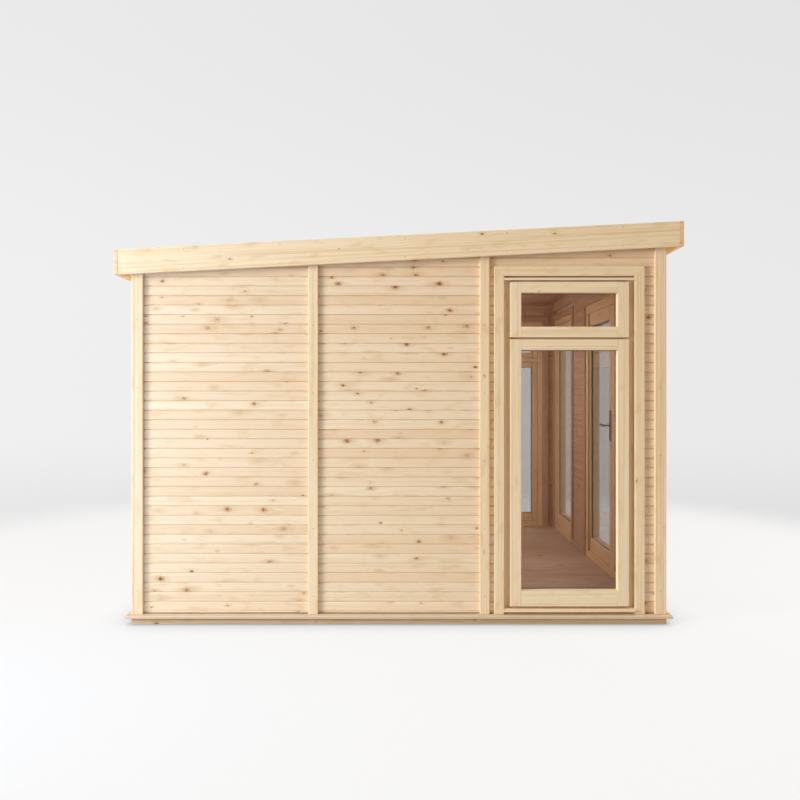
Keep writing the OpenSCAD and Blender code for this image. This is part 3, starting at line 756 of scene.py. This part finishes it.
def buildDoors():
    surround = newPiece()
    u, z = doorOpening
    leaves = {side: boxIn(onFront, side + "_door_leaf") for side in ("left", "right")}
    sashZ = leaves["left"][2]
    addFrame(surround, onFront, u, z, sashZ)
    clear = (u[0] + joinery["jamb"], u[1] - joinery["jamb"])
    stopD, head = (liningDepth - doors["stop"], liningDepth), z[1] - joinery["jamb"]
    for span in ((clear[0], clear[0] + doors["stopLap"]), (clear[1] - doors["stopLap"], clear[1])):
        addBoard(surround, (span, stopD, (sashZ[0] + joinery["lap"], head)), alongZ, onFront)
    addBoard(surround, (clear, stopD, (head - doors["stopLap"], head)), alongU, onFront)
    finish("doorFrame", surround, "building", "joinery", joineryPine, "door_frame")
    for side in ("left", "right"):
        leaf, panes, spacers = (newPiece() for count in range(3))
        leafU, _, leafZ = leaves[side]
        glassU, glassD, glassZ = glassIn(onFront, side + "_door_glass")
        lap, lip = joinery["lap"] + doors["leafGap"], joinery["lip"] - doors["leafGap"]
        laps = (lap, 0, lap, lap) if side == "left" else (0, lap, lap, lap)
        addSash(leaf, onFront, leafU, leafZ, glassU, glassD, glassZ, lip, laps)
        addGlazing(panes, spacers, leaf, onFront, glassU, glassD, glassZ)
        body = side + "_door"
        finish(side + "DoorLeaf", leaf, body, "joinery", joineryPine, body + "_leaf")
        finish(side + "DoorPanes", panes, body, "glass", windowGlass, body + "_glass")
        finish(side + "DoorSeals", spacers, body, "roof_sheet", sealRubberAndShade)


buildFront(buildSideWindows())
buildDoors()
print("windows and doors built")

handle = {"neck": 0.0065, "neckSteps": 4, "bend": 0.016, "bendSteps": 6, "arm": 0.0075, "armSteps": 14,
          "flat": 0.72, "spread": 0.002, "wave": 0.0045, "tipStart": 0.9, "tipTaper": 0.45, "sides": 14}
handlePlate = {"corner": 0.012, "cornerSteps": 5, "edge": 0.0015, "collar": 0.013, "collarDepth": 0.004,
               "collarSides": 20, "screw": 0.0032, "screwProud": 0.0008, "screwInset": 0.012,
               "screwSides": 12}
keyCylinder = {"drop": 0.072, "radius": 0.0085, "sides": 16, "proud": 0.0012, "halfSlot": 0.005,
               "slotLength": 0.022}


def addSweep(piece, stations):
    # an oval tube through stations of (point, direction, half width, half height)
    shape = bmesh.new()
    loops = []
    for point, direction, wide, high in stations:
        side = Vector((0, 0, 1)).cross(direction).normalized()
        up = direction.cross(side)
        turn = Matrix((side, up, direction)).transposed().to_4x4()
        oval = Matrix.Translation(point) @ turn @ Matrix.Diagonal((wide, high, 1, 1))
        ring = bmesh.ops.create_circle(shape, segments=handle["sides"], radius=1.0, matrix=oval)
        loops.append(list({edge for vert in ring["verts"] for edge in vert.link_edges}))
    for before, after in zip(loops, loops[1:]):
        bmesh.ops.bridge_loops(shape, edges=before + after)
    for rim in (loops[0], loops[-1]):
        bmesh.ops.edgeloop_fill(shape, edges=rim)
    bmesh.ops.recalc_face_normals(shape, faces=shape.faces)
    for face in shape.faces:
        face.smooth = len(face.verts) == 4
    shape.to_mesh(carrier)
    piece.from_mesh(carrier)
    shape.free()


def addDisc(piece, centre, outwards, radius, depth, sides=8, top=0.75, sunk=0.0006):
    # a low round head; sunk is how far it reaches into the face that it stands on
    turn = Vector(outwards).to_track_quat("Z", "Y").to_matrix().to_4x4()
    middle = Vector(centre) + Vector(outwards).normalized() * (depth - sunk) / 2
    bmesh.ops.create_cone(piece, cap_ends=True, segments=sides, radius1=radius, radius2=radius * top,
                          depth=depth + sunk, matrix=Matrix.Translation(middle) @ turn)


def leverStations(spindle, face, armDepth, outwards, reach):
    # out from the face of the leaf, round the bend and along the arm
    neck, arm, bend = handle["neck"], handle["arm"], handle["bend"]
    stations = []
    for step in range(handle["neckSteps"] + 1):
        depth = face + (armDepth - outwards * bend - face) * step / handle["neckSteps"]
        stations.append(((spindle.x, depth, spindle.z), (0, outwards, 0), neck, neck))
    for step in range(1, handle["bendSteps"]):
        angle = math.pi / 2 * step / handle["bendSteps"]
        along = spindle.x + bend * (1 - math.cos(angle))
        depth = armDepth - outwards * bend * (1 - math.sin(angle))
        way = (math.sin(angle), outwards * math.cos(angle), 0)
        stations.append(((along, depth, spindle.z), way, neck, arm))
    for step in range(handle["armSteps"] + 1):
        share = step / handle["armSteps"]
        along = spindle.x + bend + (reach - bend) * share
        height = spindle.z - handle["wave"] * math.sin(2 * math.pi * share)
        past = max(0.0, share - handle["tipStart"]) / (1 - handle["tipStart"])
        tip = 1 - handle["tipTaper"] * past
        stations.append(((along, armDepth, height), (1, 0, 0), arm * handle["flat"] * tip,
                         (arm + handle["spread"] * share) * tip))
    turned = onFront.to_3x3()
    return [(onFront @ Vector(point), turned @ Vector(way), wide, high)
            for point, way, wide, high in stations]


def plateOutline(u, z):
    corner, steps = handlePlate["corner"], handlePlate["cornerSteps"]
    left, right, low, high = u[0] + corner, u[1] - corner, z[0] + corner, z[1] - corner
    outline = []
    for quarter, (centreU, centreZ) in enumerate(((right, high), (left, high), (left, low), (right, low))):
        for step in range(steps + 1):
            angle = math.pi / 2 * (quarter + step / steps)
            outline.append((centreU + corner * math.cos(angle), centreZ + corner * math.sin(angle)))
    return outline


def buildHandle():
    lever, plates, keys = bmesh.new(), bmesh.new(), bmesh.new()
    u, d, z = boxIn(onFront, "handle_plates")
    leverU, leverD, _ = boxIn(onFront, "door_handle")
    leafD = boxIn(onFront, "right_door_leaf")[1]
    spindle = Vector(((u[0] + u[1]) / 2, 0, (z[0] + z[1]) / 2))
    thick = leafD[0] - d[0]
    for face, outwards, leverEnd in ((leafD[0], -1, leverD[0]), (leafD[1], 1, leverD[1])):
        armDepth = leverEnd - outwards * handle["arm"]
        addSweep(lever, leverStations(spindle, face, armDepth, outwards, leverU[1] - spindle.x))
        front = face + outwards * thick
        way = onFront.to_3x3() @ Vector((0, outwards, 0))
        addBoard(plates, (u, sorted((face, front)), z), alongD, onFront, plateOutline(u, z),
                 edge=handlePlate["edge"])

        def spot(height):
            return onFront @ Vector((spindle.x, front, height))

        addDisc(plates, spot(spindle.z), way, handlePlate["collar"], handlePlate["collarDepth"],
                handlePlate["collarSides"], 0.8)
        for height in (z[0] + handlePlate["screwInset"], z[1] - handlePlate["screwInset"]):
            addDisc(plates, spot(height), way, handlePlate["screw"], handlePlate["screwProud"],
                    handlePlate["screwSides"], 0.6)
        keyHeight, half = spindle.z - keyCylinder["drop"], keyCylinder["halfSlot"]
        keyDepth = sorted((front, front + outwards * keyCylinder["proud"]))
        addDisc(keys, spot(keyHeight), way, keyCylinder["radius"], keyCylinder["proud"],
                keyCylinder["sides"], 0.95)
        slot = ((spindle.x - half, spindle.x + half), keyDepth,
                (keyHeight - keyCylinder["slotLength"], keyHeight))
        addBoard(keys, slot, alongD, onFront, edge=0)
    finish("leverHandle", lever, "lever", "handle_metal", handleSteel, "door_handle")
    finish("handlePlates", plates, "right_door", "handle_metal", handleSteel, "handle_plates")
    finish("keyCylinders", keys, "right_door", "handle_metal", darkSteel)


hinges = {"count": 3, "knuckle": 0.0075, "plateHeight": 0.0327, "plateThickness": 0.003, "screw": 0.0036,
          "screwProud": 0.0010, "screwSides": 12, "screwPlaces": (0.24, 0.60)}


def buildHingeScrews():
    for side in ("left", "right"):
        heads = bmesh.new()
        low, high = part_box(side + "_door_hinges")
        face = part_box(side + "_door_leaf")[0].y - hinges["plateThickness"]
        freeEnd, axis = high.x, low.x + hinges["knuckle"]
        if side == "right":
            freeEnd, axis = low.x, high.x - hinges["knuckle"]
        step = (high.z - low.z - hinges["plateHeight"]) / (hinges["count"] - 1)
        for number in range(hinges["count"]):
            middle = low.z + hinges["plateHeight"] / 2 + number * step
            for share in hinges["screwPlaces"]:
                addDisc(heads, (freeEnd + share * (axis - freeEnd), face, middle), (0, -1, 0),
                        hinges["screw"], hinges["screwProud"], hinges["screwSides"], 0.6)
        finish(side + "HingeScrews", heads, side + "_door", "hinge_steel", darkSteel)


nails = {"radius": 0.0026, "proud": 0.0004, "rise": 0.10, "cornerRise": 0.13, "step": 0.38,
         "fasciaStep": 0.62, "fasciaInset": 0.018, "endInset": 0.03, "wander": 0.05}


def buildNails():
    heads = bmesh.new()

    def addNail(spot, outwards):
        addDisc(heads, spot, outwards, nails["radius"], nails["proud"])

    def addColumn(place, u, rise):
        height = sillTop + rise
        limit = wallTop - roofFall * (place @ Vector((u, 0, 0))).y - rise / 2
        while height < limit:
            addNail(place @ Vector((u, 0, height)), place.to_3x3() @ Vector((0, -1, 0)))
            height += nails["step"]

    for place, node in coverPlaces:
        for joint in boxIn(place, node)[0]:
            addColumn(place, joint, nails["rise"])
    for place in (onLeft, onRight, onFront, onBack):
        for side in (-1, 1):
            addColumn(place, side * (halfAlong(place) - trims["cornerWidth"] / 2), nails["cornerRise"])

    faceX, sideY, sideZ = boxIn(asBuilt, "side_fascias")
    endX, faceY, _ = boxIn(asBuilt, "end_fascias")
    low, high = levelLimits(sideY, sideZ)
    count = math.ceil((endX[1] - endX[0]) / nails["fasciaStep"])
    for side in (-1, 1):
        for number in range(count):
            share = (number + 0.5) / count * 2 - 1
            wander = draw.uniform(-nails["wander"], nails["wander"])
            x = share * (endX[1] - nails["endInset"]) + wander
            y = share * (sideY[1] - nails["endInset"]) + wander
            for height in (low + nails["fasciaInset"], high - nails["fasciaInset"]):
                addNail((side * faceX[1], y, height - roofFall * y), (side, 0, 0))
                addNail((x, side * faceY[1], height - roofFall * side * faceY[1]), (0, side, 0))
    finish("nailHeads", heads, "building", "hinge_steel", darkSteel)


buildHandle()
buildHingeScrews()
buildNails()
print("handle, screws and nails built")

sheet = {"width": 1.0, "lap": 0.08, "lapRise": 0.0025, "fillet": 0.018, "seat": 0.001, "edge": 0.001}


def buildSheet():
    piece = newPiece()
    x, y, z = boxIn(asBuilt, "roof_covering")
    low, high = levelLimits(y, z)
    addBoard(piece, (x, y, (low, high)), alongU, onRoof, edge=0)
    count = math.ceil((y[1] - y[0]) / sheet["width"])
    foot = high - sheet["seat"]
    for number in range(1, count):
        joint = y[0] + number * (y[1] - y[0]) / count
        spans = (x, (joint, joint + sheet["lap"]), (foot, high + sheet["lapRise"]))
        addBoard(piece, spans, alongU, onRoof, edge=sheet["edge"])
    # the sheet is dressed up a fillet along each fascia
    rise = (foot, high + sheet["fillet"])
    for side in (-1, 1):
        for run, across in ((alongD, x), (alongU, y)):
            wall = side * across[1]
            inner = wall - side * sheet["fillet"]
            span = sorted((wall, inner))
            spans = (span, y, rise) if run == alongD else (x, span, rise)
            addBoard(piece, spans, run, onRoof, [(wall, foot), (inner, foot), (wall, rise[1])], edge=0)
    finish("roofSheet", piece, "building", "roof_sheet", roofRubber, "roof_covering")


buildSheet()
print("roof sheet built")

# what stays as drawn in the frame
kept = {"roof_panel": deckPine, "frame_hinges": hingeSteel, "left_door_hinges": hingeSteel,
        "right_door_hinges": hingeSteel}
for node, material in kept.items():
    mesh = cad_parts[node].data
    mesh.materials.clear()
    mesh.materials.append(material)

# the stage also sets a painted contact shadow on the floor: how far from the building it reaches and how
# deeply it dims the floor's glow
stage = {"floorRadius": 7.0, "fadeStart": 3.5, "fadeEnd": 5.3, "floor": (0.12, 0.12, 0.12), "glow": 0.80,
         "paintedShadowReach": 0.30, "paintedShadowDip": 0.55, "bounce": 0.6}
view = {"eye": (-5.984, -0.006, 1.294), "lens": 36.0, "lift": -0.0081}
lights = {
    "key": {"spot": (-5.3, 9.5, 2.9), "size": (2.6, 3.0), "power": 1060.0, "colour": (1.0, 0.985, 0.955)},
    "near": {"spot": (-3.2, 2.5, 1.2), "size": (1.2, 1.8), "power": 20.0, "colour": (0.60, 1.03, 1.75)},
    "front": {"spot": (-1.2, -6.0, 2.6), "size": (2.4, 3.0), "power": 165.0, "colour": (1.0, 0.97, 0.93)},
    "top": {"spot": (0.0, -0.5, 8.0), "size": (8.0, 8.0), "power": 190.0, "colour": (1.0, 0.95, 0.89)},
}
roomLight = {"spot": (0, 0, wallTop - roofFall * 2.2 - 0.06), "size": 2.2, "power": 9.0,
             "colour": (0.95, 0.98, 1.05)}
wallWash = {"spot": (0.2, 0.0, 1.60), "radius": 0.25, "power": 20.0, "colour": (1.0, 0.90, 0.82)}
sky = {"top": (0.80, 0.80, 0.80), "middle": (0.845, 0.845, 0.845), "low": (0.775, 0.775, 0.778),
       "sides": 0.035, "lit": (1.0, 0.89, 0.75), "strength": 0.43}


def makeFloor():
    material, tree = newMaterial("studioFloor")
    spot = put(tree, "TexCoord").outputs["Object"]
    away = put(tree, "VectorMath", {0: spot}, operation="LENGTH").outputs["Value"]
    speck = put(tree, "TexNoise", {"Vector": spot, "Scale": 40.0, "Detail": 3.0}).outputs["Fac"]
    shade = blend(tree, reckon(tree, "MULTIPLY", speck, 0.04), stage["floor"], (0.7, 0.7, 0.7))
    matt = put(tree, "BsdfDiffuse", {"Color": shade})
    # painted contact shadow: an ambient occlusion mask dims the floor's glow close to the building
    near = put(tree, "AmbientOcclusion", {"Distance": stage["paintedShadowReach"]}).outputs["AO"]
    glowUnderPaintedShadow = ramp(tree, near, 0.0, 1.0, stage["glow"] * (1 - stage["paintedShadowDip"]), stage["glow"])
    straight = put(tree, "LightPath").outputs["Is Camera Ray"]
    bounce = ramp(tree, straight, 0.0, 1.0, stage["bounce"], 1.0)
    glow = put(tree, "Emission", {"Color": (1, 1, 1, 1), "Strength": reckon(tree, "MULTIPLY", glowUnderPaintedShadow, bounce)})
    lit = put(tree, "AddShader", {0: matt.outputs[0], 1: glow.outputs[0]})
    gone = put(tree, "BsdfTransparent")
    share = ramp(tree, away, stage["fadeStart"], stage["fadeEnd"], 0.0, 1.0)
    mixed = put(tree, "MixShader", {0: share, 1: lit.outputs[0], 2: gone.outputs[0]})
    put(tree, "OutputMaterial", {"Surface": mixed.outputs[0]})
    return material


def addLamp(name, kind, light, aim=None):
    lamp = bpy.data.lights.new(name, kind)
    lamp.energy, lamp.color = light["power"], light["colour"]
    holder = bpy.data.objects.new(name, lamp)
    holder.location = light["spot"]
    if aim:
        holder.rotation_euler = aim.to_track_quat("-Z", "Y").to_euler()
    holder.visible_camera = False
    holder.visible_glossy = bool(aim)
    bpy.context.scene.collection.objects.link(holder)
    return lamp


def setStage():
    ground = bmesh.new()
    bmesh.ops.create_circle(ground, cap_ends=True, segments=96, radius=stage["floorRadius"])
    mesh = bpy.data.meshes.new("studioFloor")
    ground.to_mesh(mesh)
    ground.free()
    mesh.materials.append(makeFloor())
    floor = bpy.data.objects.new("studioFloor", mesh)
    bpy.context.scene.collection.objects.link(floor)

    world = bpy.data.worlds.new("studio")
    world.use_nodes = True
    tree = world.node_tree
    tree.nodes.clear()
    way = put(tree, "SeparateXYZ", {0: put(tree, "TexCoord").outputs["Generated"]})
    shade = blend(tree, ramp(tree, way.outputs["Z"], -0.15, -0.04, 0.0, 1.0), sky["low"], sky["middle"])
    shade = blend(tree, ramp(tree, way.outputs["Z"], 0.10, 0.45, 0.0, 1.0), shade, sky["top"])
    tilt = reckon(tree, "ADD", reckon(tree, "MULTIPLY", way.outputs["Y"], sky["sides"] * 2), 1.0)
    seen = put(tree, "Background", {"Color": shade, "Strength": tilt})
    lit = put(tree, "Background", {"Color": (*sky["lit"], 1), "Strength": sky["strength"]})
    straight = put(tree, "LightPath").outputs["Is Camera Ray"]
    mixed = put(tree, "MixShader", {0: straight, 1: lit.outputs[0], 2: seen.outputs[0]})
    put(tree, "OutputWorld", {"Surface": mixed.outputs[0]})
    bpy.context.scene.world = world

    for name, light in lights.items():
        lamp = addLamp(name, "AREA", light, (Vector((0, 0, 1.0)) - Vector(light["spot"])))
        lamp.shape = "RECTANGLE"
        lamp.size, lamp.size_y = light["size"]
    lamp = addLamp("room", "AREA", roomLight)
    lamp.shape, lamp.size = "SQUARE", roomLight["size"]
    lamp = addLamp("wallWash", "POINT", wallWash)
    lamp.shadow_soft_size = wallWash["radius"]


def setCamera():
    eye = bpy.data.cameras.new("eye")
    eye.lens, eye.sensor_width = view["lens"], 36.0
    eye.shift_y = view["lift"]
    holder = bpy.data.objects.new("eye", eye)
    holder.location = view["eye"]
    holder.rotation_euler = (math.pi / 2, 0, -math.pi / 2)
    bpy.context.scene.collection.objects.link(holder)
    bpy.context.scene.camera = holder
    bpy.context.scene.view_settings.view_transform = "Standard"
    bpy.context.scene.cycles.transparent_max_bounces = 24


setStage()
setCamera()
print("stage set")
